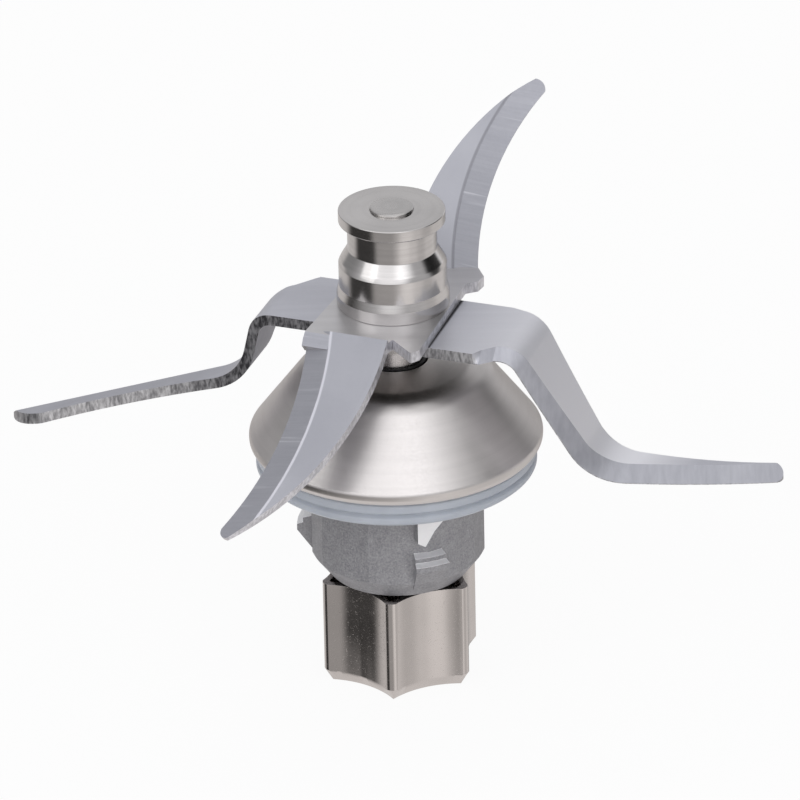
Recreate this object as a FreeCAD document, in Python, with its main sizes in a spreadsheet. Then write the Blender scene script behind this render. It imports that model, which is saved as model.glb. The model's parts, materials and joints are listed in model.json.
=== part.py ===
import FreeCAD, Part
import math
import os
import Sketcher

# Blade unit of a heated-jug food processor.
# Frame: origin on the spindle axis at the foot of the drive coupling, +Z up through the blades.
# +X points to the right-hand low blade and -Y to the blade that points down.

Vector = FreeCAD.Vector
Rotation = FreeCAD.Rotation
Placement = FreeCAD.Placement

doc = FreeCAD.newDocument("blade_unit")
dims = doc.addObject("Spreadsheet::Sheet", "dims")

SIZES = {
    # Star coupling: six lobes with fluted flanks, open at the top
    "coupling_length": 18.2,
    "lobe_radius": 13.2,
    "lobe_azimuth": 33.0,
    "flute_depth": 2.8,
    "flute_radius": 12.7,
    "lobe_round": 1.5,
    "coupling_wall": 1.0,
    "coupling_floor": 4.0,
    "foot_chamfer_width": 1.3,
    "foot_chamfer_rise": 2.3,
    "boss_radius": 4.6,
    "recess_radius": 6.0,
    "recess_depth": 5.6,
    # Nut and lock washer under the coupling
    "stub_radius": 2.5,
    "nut_flats": 8.0,
    "nut_thickness": 4.0,
    "washer_radius": 4.6,
    "washer_thickness": 0.8,
    "key_width": 2.0,
    "key_length": 8.0,
    # Lower bearing, 6 x 19 x 6
    "lower_bore": 6.0,
    "lower_outside": 19.0,
    "lower_width": 6.0,
    # Upper bearing, 8 x 22 x 7
    "upper_bore": 8.0,
    "upper_outside": 22.0,
    "upper_width": 7.0,
    "bearing_ring": 1.8,
    "ball_ring_gap": 0.3,
    # Cast bearing housing
    "housing_gap": 0.6,
    "housing_floor": 1.8,
    "floor_opening": 7.4,
    "neck_radius": 14.2,
    "foot_radius": 11.5,
    "foot_taper": 3.6,
    "rooting": 1.0,
    "skirt_height": 17.4,
    "collar_inset": 4.8,
    "disc_gap": 1.0,
    "disc_thickness": 1.4,
    "tower_radius": 14.0,
    "bearing_span": 13.8,
    "lug_radius": 16.4,
    "lug_rise": 9.1,
    "lug_height": 7.3,
    "lug_angle": 20.0,
    "lug_azimuth": -70.0,
    "stop_drop": 6.6,
    "stop_width": 5.4,
    # Seal, washer and ring in the housing's mouth
    "preload_thickness": 0.8,
    "preload_bore": 8.6,
    "seal_height": 3.1,
    "seal_neck_radius": 5.2,
    "ring_thickness": 1.0,
    "ring_depth": 0.8,
    "ring_width": 2.2,
    "mouth_rim": 0.8,
    # Domed cover of pressed sheet
    "rim_height": 6.2,
    "cover_radius": 23.8,
    "cover_wall": 0.9,
    "cover_top_radius": 14.5,
    "cover_rise": 13.3,
    "cover_hole": 5.4,
    "cover_crown": 0.7,
    "crown_reach": 1.8,
    "cover_lip": 0.8,
    "crimp_gap": 1.6,
    # Jug seal of silicone under the cover
    "jug_seal_inset": 1.0,
    "jug_seal_height": 4.1,
    "jug_seal_rib": 0.6,
    # Spindle
    "journal_radius": 4.6,
    "shoulder_radius": 7.2,
    "shoulder_height": 2.4,
    "blade_rise": 20.4,
    "drive_flats": 6.6,
    "spigot_radius": 3.47,
    "button_height": 0.57,
    # Hub cap
    "cap_length": 16.4,
    "cap_base_radius": 9.1,
    "cap_base_height": 2.1,
    "cap_band_radius": 8.7,
    "cap_band_low": 3.5,
    "cap_band_high": 7.2,
    "cap_neck_radius": 7.2,
    "cap_neck_low": 9.9,
    "cap_disc_radius": 8.6,
    "cap_disc_height": 2.0,
    # Both blades
    "sheet": 1.8,
    "edge_land": 0.12,
    "hole_clearance": 0.03,
    # Upper blade: flat strip with one arm bent up and one bent down
    "upper_turn": 19.0,
    "strip_half_width": 9.2,
    "upper_bend": 40.0,
    "notch_gap": 0.5,
    "notch_rise": 1.7,
    "notch_depth": 2.6,
    "corner_drop": 1.2,
    "corner_step": 0.7,
    "corner_flare": 0.3,
    "ear_reach": 2.0,
    "ear_shoulder": 2.0,
    "ear_length": 4.1,
    "ear_foot": 5.5,
    "rear_crease": 14.5,
    "rear_crease_skew": 10.6,
    "rear_crease_end": 9.4,
    "rear_root": 11.5,
    "rear_edge_radius": 48.1,
    "rear_edge_centre": 5.7,
    "rear_back_radius": 44.3,
    "rear_reach": 32.8,
    "rear_bevel": 3.8,
    "front_crease": 14.25,
    "front_crease_skew": 2.6,
    "front_crease_end": 10.1,
    "front_root": 13.9,
    "front_edge_radius": 52.6,
    "front_edge_centre": 10.7,
    "front_back_radius": 46.0,
    "front_reach": 34.7,
    "front_bevel": 4.2,
    "front_lead": 2.5,
    "tip_width": 2.4,
    "tip_round": 1.5,
    # Lower blade: two stepped arms at a right angle to the upper blade
    "lower_turn": -20.0,
    "lower_bevel": 3.6,
    "right_run_out": 1.0,
    "left_run_out": 3.6,
    "right_bevel_root": 1.8,
    "left_bevel_root": 4.9,
    "right_step": 22.35,
    "right_step_angle": 60.1,
    "right_foot": 34.5,
    "right_foot_slope": 3.0,
    "right_step_round": 3.4,
    "right_foot_round": 10.3,
    "left_step": 20.1,
    "left_step_angle": 77.0,
    "left_foot": 22.75,
    "left_foot_slope": 17.4,
    "left_step_round": 2.3,
    "left_foot_round": 10.2,
    # Plan of its arms: edge towards the cut, back behind it, each from the shoulder to the tip
    "right_shoulder": 18.0,
    "right_edge_root": 10.7,
    "right_knee": 19.8,
    "right_edge_knee": 8.9,
    "right_edge_reach": 62.4,
    "right_edge_tip": 6.1,
    "right_edge_radius": 150.0,
    "right_back_root": 6.8,
    "right_back_reach": 61.3,
    "right_back_tip": 9.3,
    "right_bow": 66.0,
    "right_tip_round": 1.8,
    "left_shoulder": 19.0,
    "left_edge_root": 8.0,
    "left_knee": 21.6,
    "left_edge_knee": 2.3,
    "left_edge_reach": 64.8,
    "left_edge_tip": 4.4,
    "left_edge_radius": 400.0,
    "left_back_root": 7.5,
    "left_back_reach": 57.5,
    "left_back_tip": 10.3,
    "left_bow": 96.0,
    "left_tip_round": 8.0,
    # Fits
    "seat_clearance": 0.02,
    "running_clearance": 0.05,
}
LOBES = 6
NECK_FACES = 18
LUGS = 3
MITRE_SECTIONS = 5

for row, (alias, size) in enumerate(SIZES.items(), start=1):
    dims.set(f"A{row}", alias)
    dims.set(f"B{row}", str(size))
    dims.setAlias(f"B{row}", alias)
doc.recompute()


def size_of(expression):
    """The value of an expression on the sheet, in millimetres or degrees."""
    return float(dims.evalExpression(expression))


# Levels and radii that follow from the sheet
HOUSING_FOOT = "dims.coupling_length + dims.housing_gap"
LUG_TOP = f"{HOUSING_FOOT} + dims.lug_rise"
FLANGE_LEVEL = f"{HOUSING_FOOT} + dims.skirt_height"
RIM_LEVEL = f"{FLANGE_LEVEL} + dims.rim_height"
BLADE_LEVEL = f"{RIM_LEVEL} + dims.blade_rise"
STRIP_BOTTOM = f"{BLADE_LEVEL} + dims.sheet"
STRIP_TOP = f"{BLADE_LEVEL} + 2 * dims.sheet"
CAP_TOP = f"{STRIP_TOP} + dims.cap_length"
LOWER_SEAT = f"{HOUSING_FOOT} + dims.housing_floor"
LOWER_TOP = f"{LOWER_SEAT} + dims.lower_width"
UPPER_SEAT = f"{LOWER_TOP} + dims.bearing_span"
UPPER_TOP = f"{UPPER_SEAT} + dims.upper_width"
SEAL_BOTTOM = f"{UPPER_TOP} + dims.preload_thickness"
SEAL_TOP = f"{SEAL_BOTTOM} + dims.seal_height"
RING_TOP = f"{SEAL_TOP} + dims.ring_thickness"
TOWER_TOP = f"{RING_TOP} + dims.mouth_rim"
DISC_RADIUS = "dims.cover_radius - dims.cover_wall - dims.disc_gap"
COLLAR_RADIUS = "dims.cover_radius - dims.collar_inset"
CRIMP_RADIUS = f"{COLLAR_RADIUS} + dims.crimp_gap"
JUG_SEAL_RADIUS = "dims.cover_radius - dims.jug_seal_inset"
DISC_BOTTOM = f"{RIM_LEVEL} - dims.cover_lip / 4"
DISC_TOP = f"{DISC_BOTTOM} + dims.disc_thickness"
LIP_BOTTOM = f"{DISC_BOTTOM} - dims.cover_lip"
COVER_TOP = f"{RIM_LEVEL} + dims.cover_rise"
LOWER_POCKET = "dims.lower_outside / 2 + dims.seat_clearance"
UPPER_POCKET = "dims.upper_outside / 2 + dims.seat_clearance"
VALLEY = "dims.lobe_radius - dims.flute_depth"


def origin_part(body, role):
    """The plane or axis of the body's own origin with this role."""
    return next(item for item in body.Origin.OriginFeatures if item.Role == role)


def new_body(name):
    body = doc.addObject("PartDesign::Body", name)
    body.Label = name
    return body


def new_sketch(body, name, plane="XZ_Plane"):
    sketch = body.newObject("Sketcher::SketchObject", name)
    sketch.AttachmentSupport = (origin_part(body, plane), [""])
    sketch.MapMode = "FlatFace"
    return sketch


def drive(sketch, constraint, expression):
    """Adds a dimension to the sketch and ties it to the sheet."""
    index = sketch.addConstraint(constraint)
    sketch.setExpression(f"Constraints[{index}]", expression)


def pin(sketch, geometry, end, corner):
    """Holds one end of an edge at a corner given by two expressions."""
    for kind, axis, expression in (("DistanceX", -2, corner[0]), ("DistanceY", -1, corner[1])):
        if expression == "0":
            sketch.addConstraint(Sketcher.Constraint("PointOnObject", geometry, end, axis))
        else:
            value = size_of(expression)
            drive(sketch, Sketcher.Constraint(kind, -1, 1, geometry, end, value), expression)


def arc_between(start, end, radius, side):
    """The short arc from start to end; side +1 bulges to the left of the way from start to end."""
    chord = end - start
    left = Vector(-chord.y, chord.x, 0).normalize()
    centre = (start + end) / 2 - left * side * math.sqrt(max(radius ** 2 - (chord.Length / 2) ** 2, 0))
    first, last = (end, start) if side > 0 else (start, end)
    angles = [math.atan2((place - centre).y, (place - centre).x) for place in (first, last)]
    if angles[1] < angles[0]:
        angles[1] += 2 * math.pi
    return Part.ArcOfCircle(Part.Circle(centre, Vector(0, 0, 1), radius), *angles)


def outline(body, name, corners, arcs=None, plane="XZ_Plane"):
    """A closed outline through corners; arcs gives side number: (radius, side to bulge)."""
    sketch = new_sketch(body, name, plane)
    arcs = arcs or {}
    places = [Vector(size_of(x), size_of(y), 0) for x, y in corners]
    ends = []
    for side, start in enumerate(places):
        finish = places[(side + 1) % len(places)]
        if side in arcs:
            radius, bulge = arcs[side]
            edge = arc_between(start, finish, size_of(radius), bulge)
        else:
            edge = Part.LineSegment(start, finish)
        number = sketch.addGeometry(edge)
        kept = sketch.Geometry[number]
        turned = kept.StartPoint.distanceToPoint(start) > kept.EndPoint.distanceToPoint(start)
        ends.append((number, 2, 1) if turned else (number, 1, 2))
    for side, (number, first, last) in enumerate(ends):
        following, next_first, _ = ends[(side + 1) % len(ends)]
        sketch.addConstraint(Sketcher.Constraint("Coincident", number, last, following, next_first))
        pin(sketch, number, first, corners[side])
        if side in arcs:
            radius = arcs[side][0]
            drive(sketch, Sketcher.Constraint("Radius", number, size_of(radius)), radius)
    return sketch


def circle(body, name, radius, centre=("0", "0"), plane="XY_Plane"):
    sketch = new_sketch(body, name, plane)
    middle = Vector(size_of(centre[0]), size_of(centre[1]), 0)
    number = sketch.addGeometry(Part.Circle(middle, Vector(0, 0, 1), size_of(radius)))
    drive(sketch, Sketcher.Constraint("Radius", number, size_of(radius)), radius)
    pin(sketch, number, 3, centre)
    return sketch


def lift(sketch, expression):
    """Raises a flat sketch above its plane by a driven height."""
    sketch.setExpression("AttachmentOffset.Base.z", expression)
    return sketch


def revolve(body, name, corners, kind="PartDesign::Revolution", angle="360", middle=False):
    """Turns a profile of (radius, height) corners about the spindle axis."""
    profile = outline(body, name + "_profile", corners)
    feature = body.newObject(kind, name)
    feature.Profile = profile
    feature.ReferenceAxis = (profile, ["V_Axis"])
    feature.setExpression("Angle", angle)
    feature.Midplane = middle
    doc.recompute()
    return feature


def pad(body, name, sketch, length, kind="PartDesign::Pad", reversed_way=False, middle=False):
    feature = body.newObject(kind, name)
    feature.Profile = sketch
    feature.setExpression("Length", length)
    feature.Reversed = reversed_way
    feature.Midplane = middle
    doc.recompute()
    return feature


def pattern(body, name, feature, count):
    """Repeats a feature round the spindle axis."""
    copies = body.newObject("PartDesign::PolarPattern", name)
    copies.Originals = [feature]
    copies.Axis = (origin_part(body, "Z_Axis"), [""])
    copies.Angle = 360
    copies.Occurrences = count
    body.Tip = copies
    doc.recompute()
    return copies


def tube(name, inner, outer, bottom, top):
    """A plain turned ring."""
    body = new_body(name)
    revolve(body, name + "_turn", [(inner, bottom), (outer, bottom), (outer, top), (inner, top)])
    return body


# Bearing housing: sand-cast aluminium with an 18-sided neck, a flange, lugs and a bored tower
housing = new_body("bearing_housing")
revolve(housing, "housing_core", [
    ("dims.floor_opening", HOUSING_FOOT),
    ("dims.foot_radius", HOUSING_FOOT),
    ("dims.tower_radius - dims.mouth_rim", f"{HOUSING_FOOT} + dims.foot_taper"),
    ("dims.tower_radius - dims.mouth_rim", FLANGE_LEVEL),
    (COLLAR_RADIUS, FLANGE_LEVEL),
    (COLLAR_RADIUS, DISC_BOTTOM),
    (DISC_RADIUS, DISC_BOTTOM),
    (DISC_RADIUS, DISC_TOP),
    ("dims.tower_radius", DISC_TOP),
    ("dims.tower_radius", TOWER_TOP),
    (UPPER_POCKET, TOWER_TOP),
    (UPPER_POCKET, UPPER_SEAT),
    (LOWER_POCKET, UPPER_SEAT),
    (LOWER_POCKET, LOWER_SEAT),
    ("dims.floor_opening", LOWER_SEAT),
])
neck = housing.newObject("PartDesign::AdditivePrism", "faceted_neck")
neck.AttachmentSupport = (origin_part(housing, "XY_Plane"), [""])
neck.MapMode = "FlatFace"
neck.Polygon = NECK_FACES
neck.setExpression("AttachmentOffset.Base.z", HOUSING_FOOT)
neck.setExpression("Circumradius", "dims.neck_radius")
neck.setExpression("Height", f"{FLANGE_LEVEL} + dims.disc_thickness - ({HOUSING_FOOT})")
doc.recompute()
revolve(housing, "neck_bore", [
    ("0", HOUSING_FOOT), ("dims.floor_opening", HOUSING_FOOT), ("dims.floor_opening", LOWER_SEAT),
    (LOWER_POCKET, LOWER_SEAT), (LOWER_POCKET, UPPER_SEAT), ("0", UPPER_SEAT),
], "PartDesign::Groove")
revolve(housing, "foot_taper", [
    ("dims.foot_radius", HOUSING_FOOT),
    ("dims.lug_radius", HOUSING_FOOT),
    ("dims.lug_radius", f"{HOUSING_FOOT} + dims.foot_taper * (dims.lug_radius - dims.foot_radius)"
                        " / (dims.neck_radius - dims.foot_radius)"),
], "PartDesign::Groove")
lug = revolve(housing, "bayonet_lug", [
    ("dims.neck_radius - dims.rooting", f"{LUG_TOP} - dims.lug_height"),
    ("dims.lug_radius", f"{LUG_TOP} - dims.lug_height * 0.37"),
    ("dims.lug_radius", f"{LUG_TOP} - dims.lug_height * 0.23"),
    ("dims.lug_radius - dims.rooting", f"{LUG_TOP} - dims.lug_height * 0.18"),
    ("dims.lug_radius - dims.rooting", f"{LUG_TOP} - dims.lug_height * 0.07"),
    ("dims.neck_radius - dims.rooting", LUG_TOP),
], angle="dims.lug_angle", middle=True)
pattern(housing, "bayonet_lugs", lug, LUGS)
stop_sketch = outline(housing, "stop_outline", [
    ("-dims.stop_width * 0.44", FLANGE_LEVEL),
    ("-dims.stop_width * 0.44", f"{FLANGE_LEVEL} - dims.stop_drop * 0.88"),
    ("-dims.stop_width * 0.2", f"{FLANGE_LEVEL} - dims.stop_drop"),
    ("dims.stop_width * 0.1", f"{FLANGE_LEVEL} - dims.stop_drop * 0.6"),
    ("dims.stop_width * 0.56", f"{FLANGE_LEVEL} - dims.stop_drop * 0.2"),
    ("dims.stop_width * 0.56", FLANGE_LEVEL),
], plane="YZ_Plane")
lift(stop_sketch, "dims.neck_radius - dims.rooting")
stop = pad(housing, "ramp_stop", stop_sketch, "dims.lug_radius - dims.neck_radius + 0.4")
pattern(housing, "ramp_stops", stop, LUGS)
revolve(housing, "ring_groove", [
    (f"{UPPER_POCKET} - 1", SEAL_TOP), (f"{UPPER_POCKET} + dims.ring_depth", SEAL_TOP),
    (f"{UPPER_POCKET} + dims.ring_depth", RING_TOP), (f"{UPPER_POCKET} - 1", RING_TOP),
], "PartDesign::Groove")
housing.Placement = Placement(Vector(), Rotation(Vector(0, 0, 1), size_of("dims.lug_azimuth")))

# Domed cover: pressed stainless sheet, nearly flat on top, crimped under the housing's disc
cover = new_body("dome_cover")
SLOPE = "(dims.cover_radius - dims.cover_top_radius) / (dims.cover_rise - dims.cover_lip)"
SIDE_WALL = f"dims.cover_wall * sqrt(1 + ({SLOPE}) ^ 2)"
# The crown's round: two corners on the neighbouring slopes and one between them
CROWN_START = ("(dims.cover_top_radius - dims.crown_reach)",
               f"({COVER_TOP} + dims.cover_crown * dims.crown_reach / (dims.cover_top_radius - dims.cover_hole))")
CROWN_END = ("(dims.cover_top_radius + dims.crown_reach * 0.6)",
             f"({COVER_TOP} - dims.crown_reach * 0.6 / ({SLOPE}))")
CROWN_MIDDLE = (f"({CROWN_START[0]} + {CROWN_END[0]}) / 4 + dims.cover_top_radius / 2",
                f"({CROWN_START[1]} + {CROWN_END[1]}) / 4 + ({COVER_TOP}) / 2")
revolve(cover, "cover_shell", [
    ("dims.cover_hole", f"{COVER_TOP} + dims.cover_crown"),
    CROWN_START,
    CROWN_MIDDLE,
    CROWN_END,
    ("dims.cover_radius", f"{RIM_LEVEL} + dims.cover_lip"),
    ("dims.cover_radius", LIP_BOTTOM),
    (CRIMP_RADIUS, LIP_BOTTOM),
    (CRIMP_RADIUS, DISC_BOTTOM),
    ("dims.cover_radius - dims.cover_wall", DISC_BOTTOM),
    ("dims.cover_radius - dims.cover_wall", f"{RIM_LEVEL} + dims.cover_lip - dims.cover_wall / 3"),
    (f"dims.cover_top_radius - ({SIDE_WALL}) + ({SLOPE}) * dims.cover_wall",
     f"{COVER_TOP} - dims.cover_wall"),
    ("dims.cover_hole", f"{COVER_TOP} + dims.cover_crown - dims.cover_wall"),
])

# Jug seal: a ribbed silicone ring that hugs the housing's collar
jug_seal = new_body("jug_seal")
revolve(jug_seal, "seal_ring", [
    (f"{COLLAR_RADIUS} + dims.seat_clearance", LIP_BOTTOM),
    (f"{COLLAR_RADIUS} + dims.seat_clearance", f"{LIP_BOTTOM} - dims.jug_seal_height"),
    (f"{JUG_SEAL_RADIUS} - dims.jug_seal_rib", f"{LIP_BOTTOM} - dims.jug_seal_height"),
    (JUG_SEAL_RADIUS, f"{LIP_BOTTOM} - dims.jug_seal_height + dims.jug_seal_rib"),
    (f"{JUG_SEAL_RADIUS} - dims.jug_seal_rib", f"{LIP_BOTTOM} - dims.jug_seal_height * 0.55"),
    (JUG_SEAL_RADIUS, f"{LIP_BOTTOM} - dims.jug_seal_height * 0.45"),
    (JUG_SEAL_RADIUS, f"{LIP_BOTTOM} - dims.jug_seal_rib"),
    (f"{JUG_SEAL_RADIUS} - dims.jug_seal_rib", LIP_BOTTOM),
])

# Preload washer, spindle seal and internal retaining ring above the upper bearing
tube("preload_washer", "dims.preload_bore", "dims.upper_outside / 2", UPPER_TOP, SEAL_BOTTOM)
spindle_seal = new_body("spindle_seal")
revolve(spindle_seal, "spindle_seal_turn", [
    ("dims.journal_radius + 1.4", SEAL_BOTTOM),
    ("dims.upper_outside / 2", SEAL_BOTTOM),
    ("dims.upper_outside / 2", SEAL_TOP),
    ("dims.upper_outside / 2 - dims.ring_width - 0.3", SEAL_TOP),
    ("dims.seal_neck_radius", f"{SEAL_TOP} + dims.ring_thickness / 2"),
    ("dims.seal_neck_radius", f"{COVER_TOP} + dims.cover_crown + 0.2"),
    ("dims.journal_radius + dims.running_clearance", f"{COVER_TOP} + dims.cover_crown + 0.2"),
    ("dims.journal_radius + dims.running_clearance", f"{SEAL_BOTTOM} + dims.seal_height / 2"),
])
ring = new_body("retaining_ring")
ring_turn = revolve(ring, "ring_turn", [
    (f"dims.upper_outside / 2 - dims.ring_width", SEAL_TOP),
    (f"{UPPER_POCKET} + dims.ring_depth - dims.seat_clearance", SEAL_TOP),
    (f"{UPPER_POCKET} + dims.ring_depth - dims.seat_clearance", RING_TOP),
    (f"dims.upper_outside / 2 - dims.ring_width", RING_TOP),
], angle="320")

# Bearings: rings of two ball bearings, each set of balls in its cage drawn as one plain ring
for name, bore, outside, bottom, top in (
        ("lower", "dims.lower_bore / 2", "dims.lower_outside / 2", LOWER_SEAT, LOWER_TOP),
        ("upper", "dims.upper_bore / 2", "dims.upper_outside / 2", UPPER_SEAT, UPPER_TOP)):
    inner_edge = f"{bore} + dims.bearing_ring"
    outer_edge = f"{outside} - dims.bearing_ring"
    tube(f"{name}_outer_ring", outer_edge, outside, bottom, top)
    tube(f"{name}_inner_ring", f"{bore} + dims.seat_clearance", inner_edge, bottom, top)
    tube(f"{name}_ball_ring", f"{inner_edge} + dims.ball_ring_gap", f"{outer_edge} - dims.ball_ring_gap",
         f"{bottom} + dims.bearing_ring / 2", f"{top} - dims.bearing_ring / 2")

# Spindle: stepped shaft with a shoulder under the blades, drive flats and a peened button
STUB_BOTTOM = "dims.recess_depth - dims.nut_thickness - dims.washer_thickness - 0.4"
shaft = new_body("spindle")
shaft_turn = revolve(shaft, "spindle_turn", [
    ("0", STUB_BOTTOM),
    ("dims.stub_radius", STUB_BOTTOM),
    ("dims.stub_radius", "dims.recess_depth + dims.coupling_floor / 2"),
    ("dims.lower_bore / 2", "dims.recess_depth + dims.coupling_floor / 2"),
    ("dims.lower_bore / 2", LOWER_TOP),
    ("dims.upper_bore / 2", LOWER_TOP),
    ("dims.upper_bore / 2", UPPER_TOP),
    ("dims.journal_radius", UPPER_TOP),
    ("dims.journal_radius", f"{BLADE_LEVEL} - dims.shoulder_height"),
    ("dims.shoulder_radius", f"{BLADE_LEVEL} - dims.shoulder_height"),
    ("dims.shoulder_radius", BLADE_LEVEL),
    ("dims.upper_bore / 2", BLADE_LEVEL),
    ("dims.upper_bore / 2", STRIP_TOP),
    ("dims.spigot_radius", STRIP_TOP),
    ("dims.spigot_radius", f"{CAP_TOP} + dims.button_height * 0.6"),
    ("dims.spigot_radius - dims.button_height", f"{CAP_TOP} + dims.button_height"),
    ("0", f"{CAP_TOP} + dims.button_height"),
])
for side, sign in (("left", "-"), ("right", "")):
    inner, outer = f"{sign}dims.drive_flats / 2", f"{sign}dims.upper_bore"
    flat = outline(shaft, side + "_flat_outline", [
        (inner, "-dims.upper_bore"), (outer, "-dims.upper_bore"), (outer, "dims.upper_bore"),
        (inner, "dims.upper_bore")], plane="XY_Plane")
    lift(flat, BLADE_LEVEL)
    pad(shaft, side + "_flat", flat, "2 * dims.sheet", "PartDesign::Pocket", reversed_way=True)
KEY_BOTTOM = f"{LOWER_SEAT} - dims.key_length - dims.sheet"
keyway = outline(shaft, "keyway_outline", [
    ("-dims.key_width / 2", "-dims.lower_bore / 2 + dims.key_width / 2"),
    ("-dims.key_width / 2", "-dims.lower_bore"),
    ("dims.key_width / 2", "-dims.lower_bore"),
    ("dims.key_width / 2", "-dims.lower_bore / 2 + dims.key_width / 2")], plane="XY_Plane")
lift(keyway, KEY_BOTTOM)
pad(shaft, "keyway", keyway, "dims.key_length", "PartDesign::Pocket", reversed_way=True)

# Drive key between spindle and coupling
key = new_body("drive_key")
key_outline = outline(key, "key_outline", [
    ("-dims.key_width / 2", "-dims.lower_bore / 2 + dims.key_width / 2"),
    ("-dims.key_width / 2", "-dims.lower_bore / 2 - dims.key_width / 2"),
    ("dims.key_width / 2", "-dims.lower_bore / 2 - dims.key_width / 2"),
    ("dims.key_width / 2", "-dims.lower_bore / 2 + dims.key_width / 2")], plane="XY_Plane")
lift(key_outline, KEY_BOTTOM)
pad(key, "key_bar", key_outline, "dims.key_length")

# Star coupling: nickel-plated casting with six lobes, hollow above its floor round a keyed boss
star = new_body("star_block")
FLUTE_AXIS = f"({VALLEY} + dims.flute_radius)"
LOBE_HALF = (f"(180deg / {LOBES} - acos((dims.lobe_radius ^ 2 + {FLUTE_AXIS} ^ 2 - dims.flute_radius ^ 2)"
             f" / (2 * dims.lobe_radius * {FLUTE_AXIS})))")


def star_outline(name, plane_height):
    """Twelve arcs: six rounded lobe tips and the six hollow flanks between them."""
    corners = []
    for lobe in range(LOBES):
        for sign in ("-", "+"):
            angle = f"(dims.lobe_azimuth * 1deg + {lobe * 360 / LOBES}deg {sign} {LOBE_HALF})"
            corners.append((f"dims.lobe_radius * cos({angle})", f"dims.lobe_radius * sin({angle})"))
    arcs = {2 * lobe: ("dims.lobe_round", -1) for lobe in range(LOBES)}
    arcs.update({2 * lobe + 1: ("dims.flute_radius", 1) for lobe in range(LOBES)})
    return lift(outline(star, name, corners, arcs, "XY_Plane"), plane_height)


star_pad = pad(star, "lobes", star_outline("lobes_outline", "dims.foot_chamfer_rise"),
               "dims.coupling_length - dims.foot_chamfer_rise")
foot = pad(star, "foot_chamfer", star_outline("foot_outline", "dims.foot_chamfer_rise"),
           "dims.foot_chamfer_rise", reversed_way=True)
foot.setExpression("TaperAngle", "-atan(dims.foot_chamfer_width / dims.foot_chamfer_rise)")
doc.recompute()
recess = circle(star, "recess_outline", "dims.recess_radius")
pad(star, "nut_recess", recess, "dims.recess_depth", "PartDesign::Pocket", reversed_way=True)
revolve(star, "stub_bore", [
    ("0", "0"),
    ("dims.stub_radius + dims.seat_clearance", "0"),
    ("dims.stub_radius + dims.seat_clearance", "dims.recess_depth + dims.coupling_floor / 2"),
    ("dims.lower_bore / 2 + dims.seat_clearance", "dims.recess_depth + dims.coupling_floor / 2"),
    ("dims.lower_bore / 2 + dims.seat_clearance", "dims.coupling_length"),
    ("0", "dims.coupling_length"),
], "PartDesign::Groove")


def cylinder(name, radius, height, bottom="0"):
    solid = doc.addObject("Part::Cylinder", name)
    solid.setExpression("Radius", radius)
    solid.setExpression("Height", height)
    solid.setExpression("Placement.Base.z", bottom)
    return solid


def combined(kind, name, **links):
    """A boolean of earlier objects."""
    result = doc.addObject(kind, name)
    for key_name, value in links.items():
        setattr(result, key_name, value)
    doc.recompute()
    return result


CAVITY_FLOOR = "dims.recess_depth + dims.coupling_floor"
cavity_round = cylinder("cavity_round", "dims.lobe_radius - dims.coupling_wall", "dims.coupling_length", CAVITY_FLOOR)
ribs = []
for step in range(LOBES):
    rib = cylinder(f"cavity_flute_{step}", "dims.flute_radius + dims.coupling_wall",
                   "2 * dims.coupling_length", "0")
    turn = f"(dims.lobe_azimuth + {(step + 0.5) * 360 / LOBES})"
    rib.setExpression("Placement.Base.x", f"{FLUTE_AXIS} * cos({turn})")
    rib.setExpression("Placement.Base.y", f"{FLUTE_AXIS} * sin({turn})")
    ribs.append(rib)
boss_core = cylinder("boss_core", "dims.boss_radius", "2 * dims.coupling_length", "0")
cavity_ribs = combined("Part::MultiFuse", "cavity_ribs", Shapes=ribs + [boss_core])
cavity = combined("Part::Cut", "cavity", Base=cavity_round, Tool=cavity_ribs)
hollow_star = combined("Part::Cut", "hollow_star", Base=star, Tool=cavity)
boss_bar = cylinder("boss_bar", "dims.boss_radius", f"{LOWER_SEAT} - dims.recess_depth", "dims.recess_depth")
boss_hole = cylinder("boss_hole", "dims.lower_bore / 2 + dims.seat_clearance", LOWER_SEAT,
                     "dims.recess_depth + dims.coupling_floor / 2")
boss = combined("Part::Cut", "boss", Base=boss_bar, Tool=boss_hole)
boss_stub = cylinder("boss_stub", "dims.stub_radius + dims.seat_clearance", LOWER_SEAT, "0")
bored_boss = combined("Part::Cut", "bored_boss", Base=boss, Tool=boss_stub)
plain_coupling = combined("Part::MultiFuse", "plain_coupling", Shapes=[hollow_star, bored_boss])
coupling = combined("Part::Cut", "star_coupling", Base=plain_coupling, Tool=key)

# Lock washer and nut that hold the coupling on the spindle
WASHER_BOTTOM = "dims.recess_depth - dims.washer_thickness"
tube("lock_washer", "dims.stub_radius + dims.seat_clearance", "dims.washer_radius", WASHER_BOTTOM,
     "dims.recess_depth")
nut = new_body("coupling_nut")
nut_bar = nut.newObject("PartDesign::AdditivePrism", "nut_bar")
nut_bar.AttachmentSupport = (origin_part(nut, "XY_Plane"), [""])
nut_bar.MapMode = "FlatFace"
nut_bar.Polygon = 6
nut_bar.setExpression("AttachmentOffset.Base.z", f"{WASHER_BOTTOM} - dims.nut_thickness")
nut_bar.setExpression("Circumradius", "dims.nut_flats / sqrt(3)")
nut_bar.setExpression("Height", "dims.nut_thickness")
doc.recompute()
revolve(nut, "nut_bore", [
    ("0", "0"), ("dims.stub_radius + dims.seat_clearance", "0"),
    ("dims.stub_radius + dims.seat_clearance", "dims.recess_depth"), ("0", "dims.recess_depth"),
], "PartDesign::Groove")

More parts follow.
